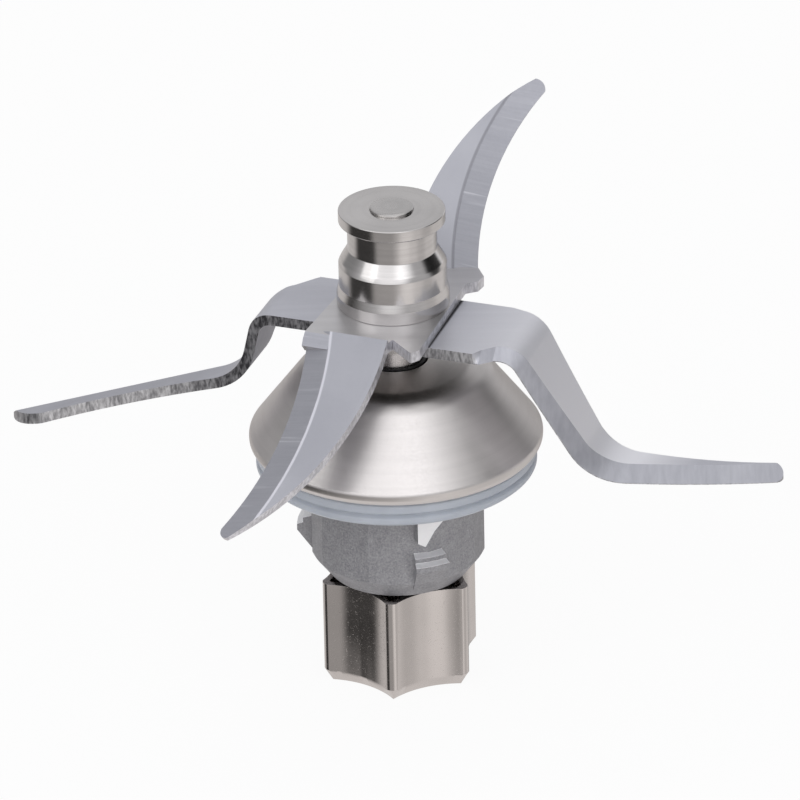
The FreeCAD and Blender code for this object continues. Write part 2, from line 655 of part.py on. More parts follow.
# Hub cap: turned stainless, clamps the blades and carries the neck that a whisk clips on
cap = new_body("hub_cap")
CAP_HOLE = "dims.spigot_radius + dims.seat_clearance"
revolve(cap, "cap_turn", [
    (CAP_HOLE, STRIP_TOP),
    ("dims.cap_base_radius", STRIP_TOP),
    ("dims.cap_base_radius", f"{STRIP_TOP} + dims.cap_base_height"),
    ("dims.cap_band_radius", f"{STRIP_TOP} + dims.cap_band_low"),
    ("dims.cap_band_radius", f"{STRIP_TOP} + dims.cap_band_high"),
    ("dims.cap_neck_radius", f"{STRIP_TOP} + dims.cap_neck_low"),
    ("dims.cap_neck_radius", f"{CAP_TOP} - dims.cap_disc_height"),
    ("dims.cap_disc_radius", f"{CAP_TOP} - dims.cap_disc_height"),
    ("dims.cap_disc_radius", CAP_TOP),
    (CAP_HOLE, CAP_TOP),
])


def spindle_hole(name):
    """The round hole with two flats that seats on the spindle's drive flats."""
    rod = cylinder(name + "_round", "dims.upper_bore / 2 + dims.hole_clearance", "3 * dims.sheet",
                   f"{BLADE_LEVEL} - dims.sheet / 2")
    flats = doc.addObject("Part::Box", name + "_flats")
    flats.setExpression("Length", "dims.drive_flats + 2 * dims.hole_clearance")
    flats.setExpression("Width", "4 * dims.upper_bore")
    flats.setExpression("Height", "3 * dims.sheet")
    flats.setExpression("Placement.Base.x", "-dims.drive_flats / 2 - dims.hole_clearance")
    flats.setExpression("Placement.Base.y", "-2 * dims.upper_bore")
    flats.setExpression("Placement.Base.z", f"{BLADE_LEVEL} - dims.sheet / 2")
    return combined("Part::Common", name, Base=rod, Tool=flats)


# Upper blade: the strip under the cap, in its own frame with y along the blade
MITRE = "dims.sheet * tan(dims.upper_bend / 2)"
strip = new_body("upper_strip")
REAR_LEFT = "(dims.rear_crease_end - dims.rear_root * cos(dims.rear_crease_skew))"
FRONT_RIGHT = "(dims.front_root * cos(dims.front_crease_skew) - dims.front_crease_end)"
REAR_LEFT_Y = "(dims.rear_crease - dims.rear_root * sin(dims.rear_crease_skew))"
FRONT_RIGHT_Y = "(-dims.front_crease - dims.front_root * sin(dims.front_crease_skew))"
strip_outline = outline(strip, "strip_outline", [
    ("dims.rear_crease_end", f"dims.rear_crease + {MITRE}"),
    (REAR_LEFT, f"{REAR_LEFT_Y} + {MITRE}"),
    (f"{REAR_LEFT} - dims.notch_gap", f"{REAR_LEFT_Y} - dims.notch_rise"),
    ("-dims.strip_half_width + dims.corner_step", "dims.rear_crease + dims.notch_depth"),
    ("-dims.strip_half_width - dims.corner_flare", "dims.rear_crease + dims.corner_drop"),
    ("-dims.strip_half_width", "0"),
    ("-dims.front_crease_end", "-dims.front_crease"),
    (FRONT_RIGHT, FRONT_RIGHT_Y),
    (f"{FRONT_RIGHT} + dims.notch_gap", f"{FRONT_RIGHT_Y} + dims.notch_rise"),
    ("dims.strip_half_width - dims.corner_step", "-dims.front_crease - dims.notch_depth"),
    ("dims.strip_half_width + dims.corner_flare", "-dims.front_crease - dims.corner_drop"),
    ("dims.strip_half_width", "0"),
    ("dims.strip_half_width", "dims.rear_crease - dims.ear_foot"),
    ("dims.strip_half_width + dims.ear_reach - dims.corner_flare", "dims.rear_crease - dims.ear_length"),
    ("dims.strip_half_width + dims.ear_reach", "dims.rear_crease - dims.ear_shoulder"),
], plane="XY_Plane")
lift(strip_outline, STRIP_BOTTOM)
pad(strip, "strip_sheet", strip_outline, "dims.sheet")


def upper_arm(side):
    """A sabre-shaped arm in its own plane: x along the crease, y outwards, top face at z = 0."""
    arm = new_body(f"{side}_arm")
    radius, centre = f"dims.{side}_edge_radius", f"dims.{side}_edge_centre"
    centre_x = f"sqrt({radius} ^ 2 - {centre} ^ 2)"
    reach = f"dims.{side}_reach"
    tip_x = f"{centre_x} - sqrt({radius} ^ 2 - ({reach} - {centre}) ^ 2)"
    shape = outline(arm, f"{side}_arm_outline", [
        ("0", f"-{MITRE}"),
        ("0", "0"),
        (tip_x, reach),
        (f"{tip_x} - dims.tip_width * 0.66", f"{reach} + dims.tip_width * 0.75"),
        (f"-dims.{side}_root", "0"),
        (f"-dims.{side}_root", f"-{MITRE}"),
    ], {1: (radius, 1), 2: ("dims.tip_round", -1), 3: (f"dims.{side}_back_radius", -1)}, "XY_Plane")
    pad(arm, f"{side}_arm_sheet", shape, "dims.sheet", reversed_way=True)
    bevel = new_sketch(arm, f"{side}_bevel_profile")
    bevel.setExpression("AttachmentOffset.Base.z", f"-{centre}")
    return arm, bevel


def grind(side):
    """The ground bevel: a cut turned about the centre of the cutting edge's arc."""
    arm, bevel = upper_arm(side)
    radius, centre = f"dims.{side}_edge_radius", f"dims.{side}_edge_centre"
    centre_x = f"sqrt({radius} ^ 2 - {centre} ^ 2)"
    places = [
        (f"{centre_x} - {radius} - dims.{side}_bevel", "0"),
        (f"{centre_x} - {radius} - dims.{side}_bevel", "dims.sheet"),
        (f"{centre_x} - {radius} + dims.{side}_bevel / 4", "dims.sheet"),
        (f"{centre_x} - {radius} + dims.{side}_bevel / 4",
         "(dims.edge_land - dims.sheet) * 1.25"),
    ]
    points = [Vector(size_of(x), size_of(y), 0) for x, y in places]
    for number, start in enumerate(points):
        bevel.addGeometry(Part.LineSegment(start, points[(number + 1) % 4]))
    for number in range(4):
        bevel.addConstraint(Sketcher.Constraint("Coincident", number, 2, (number + 1) % 4, 1))
        pin(bevel, number, 1, places[number])
    middle = size_of(centre_x)
    axis = bevel.addGeometry(Part.LineSegment(Vector(middle, 0, 0), Vector(middle, 5, 0)), True)
    pin(bevel, axis, 1, (centre_x, "0"))
    bevel.addConstraint(Sketcher.Constraint("Vertical", axis))
    bevel.addConstraint(Sketcher.Constraint("DistanceY", axis, 1, axis, 2, 5))
    groove = arm.newObject("PartDesign::Groove", f"{side}_bevel")
    groove.Profile = bevel
    groove.ReferenceAxis = (bevel, ["Axis0"])
    groove.Angle = 360
    doc.recompute()
    return arm


top = size_of(STRIP_TOP)
turn_up = Rotation(Vector(1, 0, 0), size_of("dims.upper_bend"))
turn_down = Rotation(Vector(1, 0, 0), -size_of("dims.upper_bend"))
rear_arm = grind("rear")
rear_arm.Placement = Placement(
    Vector(size_of("dims.rear_crease_end"), size_of("dims.rear_crease"), top),
    Rotation(Vector(0, 0, 1), size_of("dims.rear_crease_skew")).multiply(turn_up))
front_arm = grind("front")
# The grinding starts a little way out from the front crease, so the root keeps its full thickness
lead = outline(front_arm, "front_lead_outline", [
    ("0", "0"),
    ("0", "dims.front_lead / 2"),
    ("-dims.corner_flare / 2", "dims.front_lead"),
    ("-dims.front_bevel - dims.corner_flare", "dims.front_lead"),
    ("-dims.front_bevel - dims.corner_flare", "0"),
], plane="XY_Plane")
pad(front_arm, "front_lead_sheet", lead, "dims.sheet", reversed_way=True)
front_arm.Placement = Placement(
    Vector(-size_of("dims.front_crease_end"), -size_of("dims.front_crease"), top),
    Rotation(Vector(0, 0, 1), 180 - size_of("dims.front_crease_skew")).multiply(turn_down))
bent_blade = combined("Part::MultiFuse", "bent_blade", Shapes=[strip, rear_arm, front_arm])
bent_blade.Placement = Placement(Vector(), Rotation(Vector(0, 0, 1), -size_of("dims.upper_turn")))
combined("Part::Cut", "upper_blade", Base=bent_blade, Tool=spindle_hole("upper_hole"))


# Lower blade, in its own frame with x along the blade: a stepped ribbon cut to the outline
def blade_end(side):
    """How far the ribbon runs along x before the outline trims it."""
    return size_of(f"dims.{side}_edge_reach + dims.lower_bevel")


def stepped_line():
    """The under side of the blade from left tip to right tip, as points and bend radii."""
    bottom = size_of(BLADE_LEVEL)
    points = [Vector(0, 0, bottom)]
    for side, way in (("right", 1), ("left", -1)):
        step, foot_at = size_of(f"dims.{side}_step"), size_of(f"dims.{side}_foot")
        angle, slope = size_of(f"dims.{side}_step_angle"), size_of(f"dims.{side}_foot_slope")
        length = blade_end(side)
        low = bottom - (foot_at - step) * math.tan(math.radians(angle))
        tip = low - (length - foot_at) * math.tan(math.radians(slope))
        arm = [Vector(way * step, 0, bottom), Vector(way * foot_at, 0, low), Vector(way * length, 0, tip)]
        points = points[1:] + arm if way > 0 else arm[::-1] + points
    rounds_of_bends = [size_of(f"dims.{name}_round") for name in
                       ("left_foot", "left_step", "right_step", "right_foot")]
    return points, rounds_of_bends


def bent_line(points, bend_rounds):
    """Lines joined by tangent arcs."""
    edges = []
    last = points[0]
    for number, bend in enumerate(bend_rounds, start=1):
        here = points[number]
        before = (here - points[number - 1]).normalize()
        after = (points[number + 1] - here).normalize()
        turn = before.getAngle(after)
        start = here - before * bend * math.tan(turn / 2)
        finish = here + after * bend * math.tan(turn / 2)
        inward = (after - before).normalize()
        middle = here + inward * bend * (1 / math.cos(turn / 2) - 1)
        edges.append(Part.LineSegment(last, start).toShape())
        edges.append(Part.Arc(start, middle, finish).toShape())
        last = finish
    edges.append(Part.LineSegment(last, points[-1]).toShape())
    return edges


def low_arm(side):
    """Plan of one arm, pointing along +x with its cutting edge towards -y."""
    hub = size_of("dims.cap_base_radius")
    shoulder = Vector(size_of(f"dims.{side}_shoulder"), -size_of(f"dims.{side}_edge_root"), 0)
    knee = Vector(size_of(f"dims.{side}_knee"), -size_of(f"dims.{side}_edge_knee"), 0)
    edge_tip = Vector(size_of(f"dims.{side}_edge_reach"), size_of(f"dims.{side}_edge_tip"), 0)
    back_tip = Vector(size_of(f"dims.{side}_back_reach"), size_of(f"dims.{side}_back_tip"), 0)
    back_root = Vector(shoulder.x, size_of(f"dims.{side}_back_root"), 0)
    hub_edge = Vector(hub, shoulder.y, 0)
    hub_back = Vector(hub, back_root.y, 0)
    edge_arc = arc_between(knee, edge_tip, size_of(f"dims.{side}_edge_radius"), -1)
    tip_arc = arc_between(edge_tip, back_tip, size_of(f"dims.{side}_tip_round"), -1)
    back_arc = arc_between(back_tip, back_root, size_of(f"dims.{side}_bow"), 1)
    path = [Part.LineSegment(hub_edge, shoulder), Part.LineSegment(shoulder, knee), edge_arc, tip_arc,
            back_arc, Part.LineSegment(back_root, hub_back)]
    slant = (knee.y - shoulder.y) / (knee.x - shoulder.x)
    start = shoulder.x - size_of(f"dims.{side}_run_out")

    def rim(x):
        """The cutting edge's y at this x, carried on past the tip."""
        if x < shoulder.x:
            return shoulder.y
        if x < knee.x:
            return knee.y + (x - knee.x) * slant
        beyond = math.sqrt(edge_arc.Radius ** 2 - (x - edge_arc.Center.x) ** 2)
        return edge_arc.Center.y - beyond if edge_arc.Center.y > 0 else edge_arc.Center.y + beyond

    def bevel(x):
        """The bevel's width: it runs out before the shoulder and settles between knee and foot."""
        full, root = size_of("dims.lower_bevel"), size_of(f"dims.{side}_bevel_root")
        if x < shoulder.x:
            return max(root * (x - start) / (shoulder.x - start), size_of("dims.edge_land"))
        share = (x - knee.x) / (size_of(f"dims.{side}_foot") - knee.x)
        return root + (full - root) * min(max(share, 0), 1)
    stops = (start, shoulder.x, knee.x, size_of(f"dims.{side}_foot"), blade_end(side))
    return path, rim, bevel, stops, hub_edge, hub_back


def lower_blade_shape():
    ribbon_line = bent_line(*stepped_line())
    wide = size_of("dims.shoulder_radius") * 3
    wire = Part.Wire(ribbon_line)
    wire.translate(Vector(0, -wide, 0))
    ribbon = wire.extrude(Vector(0, 2 * wide, 0)).makeOffsetShape(
        -size_of("dims.sheet"), 0.001, False, False, 0, 2, True)
    right, *right_ground, right_edge, right_back = low_arm("right")
    left, *left_ground, left_edge, left_back = low_arm("left")
    half_turn = FreeCAD.Matrix()
    half_turn.rotateZ(math.pi)
    path = [edge.toShape() for edge in right]
    path.append(Part.LineSegment(right_back, half_turn.multVec(left_edge)).toShape())
    path += [edge.toShape().transformGeometry(half_turn) for edge in left]
    path.append(Part.LineSegment(half_turn.multVec(left_back), right_edge).toShape())
    plan = Part.Face(Part.Wire(path)).extrude(Vector(0, 0, 2 * size_of(BLADE_LEVEL)))
    blade = ribbon.common(plan)
    for (rim, bevel, stops), way in ((right_ground, 1), (left_ground, -1)):
        for edge in ribbon_line:
            for first, last in zip(stops, stops[1:]):
                cutter = bevel_cutter(edge, rim, bevel, way, first, last)
                if cutter:
                    blade = blade.cut(cutter)
    return blade


def place_at(edge, x):
    """The point of a ribbon edge at this x."""
    upright = Part.LineSegment(Vector(x, 0, -1000), Vector(x, 0, 1000)).toShape()
    return upright.distToShape(edge)[1][0][1]


def bevel_cutter(edge, rim, bevel, way, first, last):
    """The wedge ground off the top along the cutting edge, over one line or bend of the ribbon."""
    sheet, land = size_of("dims.sheet"), size_of("dims.edge_land")
    ends = sorted(way * vertex.Point.x for vertex in edge.Vertexes)
    first, last = max(first, ends[0]), min(last, ends[1])
    if last - first < 0.001:
        return None
    wires = []
    for number in range(MITRE_SECTIONS):
        x = first + (last - first) * number / (MITRE_SECTIONS - 1)
        inside, outside = bevel(x) * 1.3, bevel(x) * 0.3
        fall = (sheet - land) / bevel(x)
        place = place_at(edge, way * x)
        across = Vector(0, way, 0)
        upward = edge.tangentAt(edge.Curve.parameter(place)).cross(across).normalize()
        upward = upward * (1 if upward.z > 0 else -1)
        base = Vector(place.x, way * rim(x), place.z) + upward * land
        low = base - across * outside - upward * (outside * fall)
        far = base + across * inside + upward * (inside * fall)
        high = base - across * outside + upward * (inside * fall)
        wires.append(Part.makePolygon([low, far, high, low]))
    return Part.makeLoft(wires, True, False)


stepped_blade = doc.addObject("Part::Feature", "stepped_blade")
stepped_blade.Shape = lower_blade_shape()
stepped_blade.Placement = Placement(Vector(), Rotation(Vector(0, 0, 1), size_of("dims.lower_turn")))
combined("Part::Cut", "lower_blade", Base=stepped_blade, Tool=spindle_hole("lower_hole"))

doc.recompute()

NODES = [
    "bearing_housing", "dome_cover", "jug_seal", "preload_washer", "spindle_seal", "retaining_ring",
    "lower_outer_ring", "lower_inner_ring", "lower_ball_ring",
    "upper_outer_ring", "upper_inner_ring", "upper_ball_ring",
    "spindle", "drive_key", "star_coupling", "lock_washer", "coupling_nut",
    "hub_cap", "upper_blade", "lower_blade",
]

# Every object has to be sound before anything is written
for item in doc.Objects:
    if "Invalid" in item.State or "Error" in item.State:
        raise RuntimeError(f"{item.Name} did not build: {item.State}")
os.makedirs("parts", exist_ok=True)
for name in NODES:
    node = doc.getObject(name)
    if node.Shape.isNull() or not node.Shape.isValid():
        raise RuntimeError(f"{name} has no sound shape")
    if len(node.Shape.Solids) != 1:
        raise RuntimeError(f"{name} should be one solid and has {len(node.Shape.Solids)}")
    node.Shape.exportStep(f"parts/{name}.step")
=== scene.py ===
import json
import math

import bpy
from mathutils import Matrix, Vector


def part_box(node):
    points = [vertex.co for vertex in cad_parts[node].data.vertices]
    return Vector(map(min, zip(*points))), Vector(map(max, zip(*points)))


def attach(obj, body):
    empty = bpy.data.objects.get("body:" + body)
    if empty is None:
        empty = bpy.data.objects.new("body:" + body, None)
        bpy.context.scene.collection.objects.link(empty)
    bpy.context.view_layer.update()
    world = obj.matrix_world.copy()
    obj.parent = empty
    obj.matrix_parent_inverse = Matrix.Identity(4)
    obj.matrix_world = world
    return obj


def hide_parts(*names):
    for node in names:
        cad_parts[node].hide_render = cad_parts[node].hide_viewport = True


# The blade unit of a heated blender jug on a white table, dressed over its CAD frame.
# Lengths are in metres; mm() turns the maker's millimetres into them.

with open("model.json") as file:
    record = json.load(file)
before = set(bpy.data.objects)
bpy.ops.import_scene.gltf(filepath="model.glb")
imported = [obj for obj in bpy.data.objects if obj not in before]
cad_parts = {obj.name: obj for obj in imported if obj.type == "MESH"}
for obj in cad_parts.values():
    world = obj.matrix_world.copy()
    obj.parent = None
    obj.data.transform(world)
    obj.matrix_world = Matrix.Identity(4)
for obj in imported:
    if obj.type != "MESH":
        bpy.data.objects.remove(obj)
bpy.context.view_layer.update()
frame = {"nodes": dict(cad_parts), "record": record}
nodes = frame["nodes"]
scene = bpy.context.scene


def mm(*lengths):
    """Millimetres as metres: one number, or a Vector of several."""
    return lengths[0] / 1000 if len(lengths) == 1 else Vector(lengths) / 1000


# Shader sockets that take part in arithmetic
class Value:
    """The output of a node; + - * and ** on it add Math nodes."""

    def __init__(self, shading, socket):
        self.shading = shading
        self.socket = socket

    def maths(self, operation, first, second):
        return self.shading.node("Math", {"operation": operation}, {0: first, 1: second})

    def __add__(self, other):
        return self.maths("ADD", self, other)

    def __radd__(self, other):
        return self.maths("ADD", other, self)

    def __sub__(self, other):
        return self.maths("SUBTRACT", self, other)

    def __rsub__(self, other):
        return self.maths("SUBTRACT", other, self)

    def __mul__(self, other):
        return self.maths("MULTIPLY", self, other)

    def __pow__(self, other):
        return self.maths("POWER", self, other)


class Shading:
    """A node tree and the methods that add nodes to it."""

    def __init__(self, tree):
        self.tree = tree

    def node(self, kind, settings, values, output=0):
        """Adds a node: its settings first, then its values and links."""
        made = self.tree.nodes.new("ShaderNode" + kind)
        for name, setting in settings.items():
            setattr(made, name, setting)
        for name, value in values.items():
            if isinstance(value, Value):
                self.tree.links.new(value.socket, made.inputs[name])
            else:
                made.inputs[name].default_value = value
        return Value(self, made.outputs[output])

    def join(self, value, shader, socket):
        """Links a value to a socket of a node that is there already."""
        self.tree.links.new(value.socket, self.tree.nodes[shader].inputs[socket])

    def ramp(self, value, low, high, to_low=0.0, to_high=1.0):
        """Maps a value from one range to another, clamped."""
        return self.node("MapRange", {}, {
            "Value": value, "From Min": low, "From Max": high, "To Min": to_low, "To Max": to_high})

    def blend(self, share, first, second):
        """Mixes two colours."""
        return self.node("Mix", {"data_type": "RGBA"}, {0: share, 6: first, 7: second}, 2)

    def vectors(self, operation, first, second, output="Vector"):
        return self.node("VectorMath", {"operation": operation}, {0: first, 1: second}, output)

    def parts_of(self, vector):
        """X, Y and Z of a vector."""
        made = self.tree.nodes.new("ShaderNodeSeparateXYZ")
        self.tree.links.new(vector.socket, made.inputs[0])
        return [Value(self, socket) for socket in made.outputs]


class Finish(Shading):
    """A material and the shader it is built on."""

    def __init__(self, name, **constants):
        self.material = bpy.data.materials.new(name)
        self.material.use_nodes = True
        super().__init__(self.material.node_tree)
        for socket, constant in constants.items():
            self.tree.nodes["Principled BSDF"].inputs[socket.replace("_", " ")].default_value = constant
        self.place = self.node("TexCoord", {}, {}, "Object")

    def drive(self, socket, value):
        self.join(value, "Principled BSDF", socket)

    def reach_of_axis(self):
        """Distance from the spindle's axis."""
        x, y, _ = self.parts_of(self.place)
        return (x * x + y * y) ** 0.5

    def along(self, direction):
        """Distance from the origin along a direction."""
        return self.vectors("DOT_PRODUCT", self.place, tuple(direction), "Value")

    def noise(self, scale, detail=4, stretch=(1, 1, 1), turn=0, place=None):
        """Noise between 0 and 1, stretched along the axes after a turn about Z."""
        mapped = self.node("Mapping", {}, {
            "Vector": place or self.place, "Rotation": (0, 0, turn), "Scale": stretch})
        return self.node("TexNoise", {}, {"Vector": mapped, "Scale": scale, "Detail": detail}, "Fac")

    def bump(self, height, distance):
        return self.node("Bump", {}, {"Height": height, "Distance": distance}, "Normal")


def colour(red, green, blue):
    return (red, green, blue, 1)


def turned_place(finish):
    """Coordinates that follow a lathe: distance from the axis, and height."""
    height = finish.parts_of(finish.place)[2]
    return finish.node("CombineXYZ", {}, {"X": finish.reach_of_axis(), "Y": height})


def turned_metal(name, dark, pale, roughness, groove, groove_depth, spread=0.0):
    """Lathe-finished metal: fine rings, faint clouding and small changes of gloss.

    spread is how much further the rings blur a reflection across them than along them.
    """
    finish = Finish(name, Metallic=1.0, Anisotropic=spread)
    rings = finish.noise(groove, 3, (1, 1, 1), 0, turned_place(finish))
    clouds = finish.noise(90, 5)
    specks = finish.noise(2600, 2)
    finish.drive("Base Color", finish.blend(finish.ramp(clouds + rings * 0.6, 0.5, 1.0), dark, pale))
    finish.drive("Roughness", finish.ramp(
        clouds * 0.5 + specks * 0.5, 0.3, 0.7, roughness * 0.8, roughness * 1.25))
    finish.drive("Normal", finish.bump(rings + specks * 0.12, groove_depth))
    return finish.material


def tumbled_steel(name, turn, dark, pale, roughness, painted_light=None):
    """Sheet steel tumbled to a soft grey, with faint rolling lines along the blade.

    painted_light takes the finish and its tone, and gives the tone with painted light and shade laid on it.
    """
    finish = Finish(name, Metallic=0.75)
    rolling = finish.noise(700, 3, (0.06, 1, 1), turn)
    clouds = finish.noise(60, 5)
    peen = finish.noise(1900, 3)
    tone = finish.blend(finish.ramp(clouds * 0.6 + rolling * 0.4, 0.38, 0.62), dark, pale)
    finish.drive("Base Color", painted_light(finish, tone) if painted_light else tone)
    finish.drive("Roughness", finish.ramp(
        clouds * 0.4 + peen * 0.6, 0.35, 0.65, roughness * 0.92, roughness * 1.08))
    finish.drive("Normal", finish.bump(peen * 0.7 + rolling * 0.3, mm(0.006)))
    return finish.material


def low_painted_light(finish, tone):
    """The lower blade's painted light: a darker painted reflection on its left arm, a paler painted
    reflection down its long slope, and a painted shadow in the corner along the strip's edge.
    """
    along = finish.along(ALONG_LOW)
    # painted reflection: the left arm turned darker
    dark_reflection_on_left_arm = finish.ramp(along, mm(-22), mm(-32))
    tone = finish.blend(dark_reflection_on_left_arm * 0.35, tone, colour(0.30, 0.30, 0.33))
    # painted reflection: the long slope turned paler
    pale_reflection_on_slope = finish.ramp(along, mm(4), mm(32)) * finish.ramp(along, mm(50), mm(41))
    tone = finish.blend(pale_reflection_on_slope, tone, colour(0.88, 0.88, 0.92))
    # painted shadow: a dark line beside the upper strip's edge
    side = finish.along(ACROSS_HIGH)
    shadow_by_strip_edge = finish.ramp(side, mm(9.8), mm(9.5)) * finish.ramp(side, mm(8.9), mm(9.1))
    return finish.blend(shadow_by_strip_edge, tone, colour(0.05, 0.05, 0.055))


def under_painted_shade(finish, tone):
    """The undersides: painted shade, darker towards the hub."""
    near_hub = finish.ramp(finish.reach_of_axis(), mm(27), mm(11))
    return finish.blend(near_hub, tone, colour(0.10, 0.095, 0.09))


def ground_steel(name, turn, dark, pale, roughness):
    """The ground bevel: strokes of the wheel that run across the edge."""
    finish = Finish(name, Metallic=0.75)
    strokes = finish.noise(1500, 3, (1, 0.05, 0.4), turn)
    bands = finish.noise(260, 2, (1, 0.08, 0.3), turn)
    finish.drive("Base Color", finish.blend(
        finish.ramp(strokes * 0.5 + bands * 0.5, 0.36, 0.64), dark, pale))
    finish.drive("Roughness", finish.ramp(strokes, 0.3, 0.7, roughness * 0.9, roughness * 1.1))
    finish.drive("Normal", finish.bump(strokes + bands * 0.5, mm(0.008)))
    return finish.material


def arm_steel(name, place, bevel_reach, line, dark, pale):
    """An arm of the upper blade: soft grey sheet, and a bevel ground round the edge's centre.

    place is that centre's matrix, with Z square to the arm. line is the tone of a line painted where the
    bevel begins: painted shade on the rear arm, a painted highlight on the front.
    """
    finish = Finish(name, Metallic=0.75)
    from_centre = finish.vectors("SUBTRACT", finish.place, tuple(place.translation))
    across = finish.vectors("CROSS_PRODUCT", from_centre, tuple(place.col[2].xyz))
    radius = finish.vectors("LENGTH", across, (0, 0, 0), "Value")
    along = finish.vectors("DOT_PRODUCT", from_centre, tuple(place.col[1].xyz), "Value")
    on_bevel = finish.ramp(radius, bevel_reach + mm(0.05), bevel_reach - mm(0.05))
    off_painted_edge_line = finish.node("Math", {"operation": "ABSOLUTE"}, {0: radius - (bevel_reach + mm(0.12))})
    painted_edge_line = finish.ramp(off_painted_edge_line, mm(0.32), mm(0.12))
    stroke_place = finish.node("CombineXYZ", {}, {"X": along, "Y": radius * 0.05, "Z": 0.0})
    strokes = finish.noise(2600, 3, place=stroke_place)
    bands = finish.noise(420, 3, place=stroke_place)
    scratches = finish.ramp(finish.noise(900, 2, place=stroke_place), 0.62, 0.72)
    clouds = finish.noise(60, 5)
    peen = finish.noise(1900, 3)
    sheet_tone = finish.blend(finish.ramp(clouds * 0.8 + peen * 0.2, 0.38, 0.62), dark, pale)
    bevel_tone = finish.blend(finish.ramp(strokes * 0.5 + bands * 0.5, 0.36, 0.64), dark, pale)
    bevel_tone = finish.blend(scratches * 0.5, bevel_tone, colour(0.85, 0.85, 0.90))
    tone = finish.blend(on_bevel, sheet_tone, bevel_tone)
    # the painted edge line: painted shade or highlight, in the tone given as line
    finish.drive("Base Color", finish.blend(painted_edge_line * 0.8, tone, line))
    finish.drive("Roughness", finish.ramp(peen + on_bevel * strokes * 0.3, 0.35, 0.75, 0.44, 0.54))
    finish.drive("Normal", finish.bump(peen * 0.5 + on_bevel * (strokes * 0.8 + bands * 0.4), mm(0.008)))
    return finish.material


def sheared_steel(name, dark, pale, smear=None):
    """The cut face of the sheet: fine upright tears, dark and bright by turns.

    smear takes the finish, and gives how much of the cut is smeared bright.
    """
    finish = Finish(name, Metallic=0.9)
    tears = finish.noise(2400, 5, (1, 1, 0.35))
    patches = finish.noise(420, 3, (1, 1, 0.5))
    tone = finish.blend(finish.ramp(tears * 0.7 + patches * 0.3, 0.42, 0.6), dark, pale)
    if smear:
        smeared = finish.blend(finish.ramp(tears * 0.6 + patches * 0.4, 0.36, 0.60),
                               colour(0.34, 0.34, 0.36), colour(0.92, 0.92, 0.94))
        tone = finish.blend(smear(finish), tone, smeared)
    finish.drive("Base Color", tone)
    finish.drive("Roughness", finish.ramp(tears, 0.3, 0.7, 0.28, 0.5))
    finish.drive("Normal", finish.bump(tears + patches * 0.5, mm(0.05)))
    return finish.material


def low_cut_smear(finish):
    """Left arm: bright beyond its step but for the tip. Right arm: bright strokes at the root."""
    along = finish.along(ALONG_LOW)
    left = finish.ramp(along, mm(-26), mm(-38)) * finish.ramp(along, mm(-64.5), mm(-60))
    right = finish.ramp(along, mm(4), mm(10)) * 0.55
    return left + right


def cast_metal(name):
    """Sand-cast aluminium, blasted: a fine grey grain with scattered bright spots."""
    finish = Finish(name, Metallic=0.5)
    grain = finish.noise(3200, 5)
    lumps = finish.noise(500, 4)
    glints = finish.ramp(finish.noise(3600, 2), 0.66, 0.76)
    body = finish.blend(finish.ramp(grain * 0.75 + lumps * 0.25, 0.36, 0.64),
                        colour(0.27, 0.27, 0.285), colour(0.44, 0.435, 0.45))
    finish.drive("Base Color", finish.blend(glints * 0.6, body, colour(0.75, 0.75, 0.77)))
    finish.drive("Roughness", finish.ramp(grain, 0.3, 0.7, 0.48, 0.66))
    finish.drive("Normal", finish.bump(grain * 0.8 + lumps * 0.5, mm(0.035)))
    return finish.material


def painted_highlight_metal(name):
    """The tops of the lugs and the faces of the ramp stops: a painted highlight of near-white bare
    aluminium.
    """
    finish = Finish(name, Metallic=0.4)
    highlight_streaks = finish.noise(1800, 3, (1, 0.2, 1))
    finish.drive("Base Color", finish.blend(highlight_streaks, colour(0.90, 0.90, 0.92), colour(0.98, 0.98, 0.98)))
    finish.drive("Roughness", finish.ramp(highlight_streaks, 0.3, 0.7, 0.3, 0.45))
    return finish.material


def plated_metal(name, dark, pale, roughness):
    """Bright plate over a casting: fine pits and a faint orange peel under the shine."""
    finish = Finish(name, Metallic=1.0)
    pits = finish.ramp(finish.noise(3400, 3), 0.60, 0.72)
    peel = finish.noise(900, 3)
    clouds = finish.noise(120, 3)
    finish.drive("Base Color", finish.blend(clouds, dark, pale))
    finish.drive("Roughness", pits * 0.25 + finish.ramp(clouds, 0.3, 0.7, roughness * 0.8, roughness * 1.3))
    finish.drive("Normal", finish.bump(peel * 0.4 - pits * 0.3, mm(0.012)))
    return finish.material


def clouded_silicone(name):
    """Pale blue-grey silicone, a little see-through, with haze and dust on it."""
    finish = Finish(name, Metallic=0.0, IOR=1.41, Subsurface_Weight=0.25,
                    Subsurface_Radius=(0.004, 0.004, 0.005))
    haze = finish.noise(140, 4)
    dust = finish.noise(1800, 2)
    finish.drive("Base Color", finish.blend(
        finish.ramp(haze, 0.3, 0.7), colour(0.44, 0.47, 0.52), colour(0.53, 0.56, 0.61)))
    finish.drive("Roughness", finish.ramp(haze * 0.5 + dust * 0.5, 0.3, 0.7, 0.28, 0.42))
    finish.drive("Normal", finish.bump(haze * 0.6 + dust * 0.2, mm(0.03)))
    return finish.material


def moulded_rubber(name):
    """Black rubber with a fine moulded grain."""
    finish = Finish(name, Metallic=0.0)
    grain = finish.noise(1500, 4)
    finish.drive("Base Color", finish.blend(grain, colour(0.012, 0.012, 0.013), colour(0.03, 0.03, 0.032)))
    finish.drive("Roughness", finish.ramp(grain, 0.3, 0.7, 0.4, 0.6))
    finish.drive("Normal", finish.bump(grain, mm(0.02)))
    return finish.material


